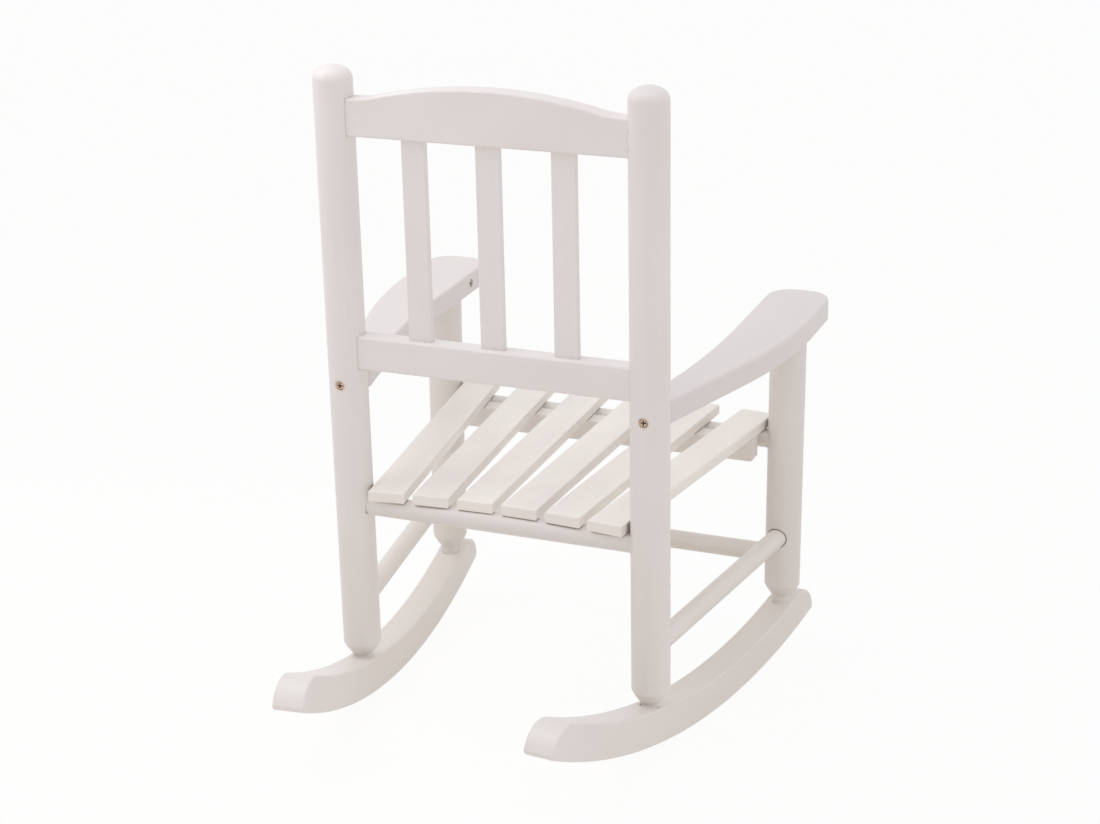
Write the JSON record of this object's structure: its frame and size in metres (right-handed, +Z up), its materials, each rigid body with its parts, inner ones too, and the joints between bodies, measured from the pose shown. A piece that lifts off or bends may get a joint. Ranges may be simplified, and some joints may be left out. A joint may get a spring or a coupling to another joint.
{
  "type": "child's rocking chair",
  "caption": "Child's slat-back wooden rocking chair with turned posts, curved arms, a fanned slat seat and bow rockers, in white paint.",
  "frame": {"origin": "on the floor, in the middle of the chair's width and midway between the heels and toes of the rockers", "axes": "+Z up; the sitter faces -Y; +X on the sitter's left"},
  "size_m": [0.401, 0.5046, 0.5628],
  "materials": {
    "painted_wood": "satin",
    "screw_brass": "satin"
  },
  "bodies": {
    "root": {"arm_front_screws": "screw_brass", "arm_left": "painted_wood", "arm_rear_screws": "screw_brass", "arm_right": "painted_wood", "back_post_left": "painted_wood", "back_post_right": "painted_wood", "back_slat_centre": "painted_wood", "back_slat_left": "painted_wood", "back_slat_right": "painted_wood", "batten_screws": "screw_brass", "crest_rail": "painted_wood", "front_post_left": "painted_wood", "front_post_right": "painted_wood", "front_seat_rail": "painted_wood", "front_stretcher": "painted_wood", "lower_back_rail": "painted_wood", "rear_seat_rail": "painted_wood", "rocker_left": "painted_wood", "rocker_right": "painted_wood", "rocker_screws": "screw_brass", "seat_batten": "painted_wood", "seat_rail_screws": "screw_brass", "seat_slat_1": "painted_wood", "seat_slat_2": "painted_wood", "seat_slat_3": "painted_wood", "seat_slat_4": "painted_wood", "seat_slat_5": "painted_wood", "seat_slat_6": "painted_wood", "side_stretcher_left": "painted_wood", "side_stretcher_right": "painted_wood"}
  },
  "joints": []
}
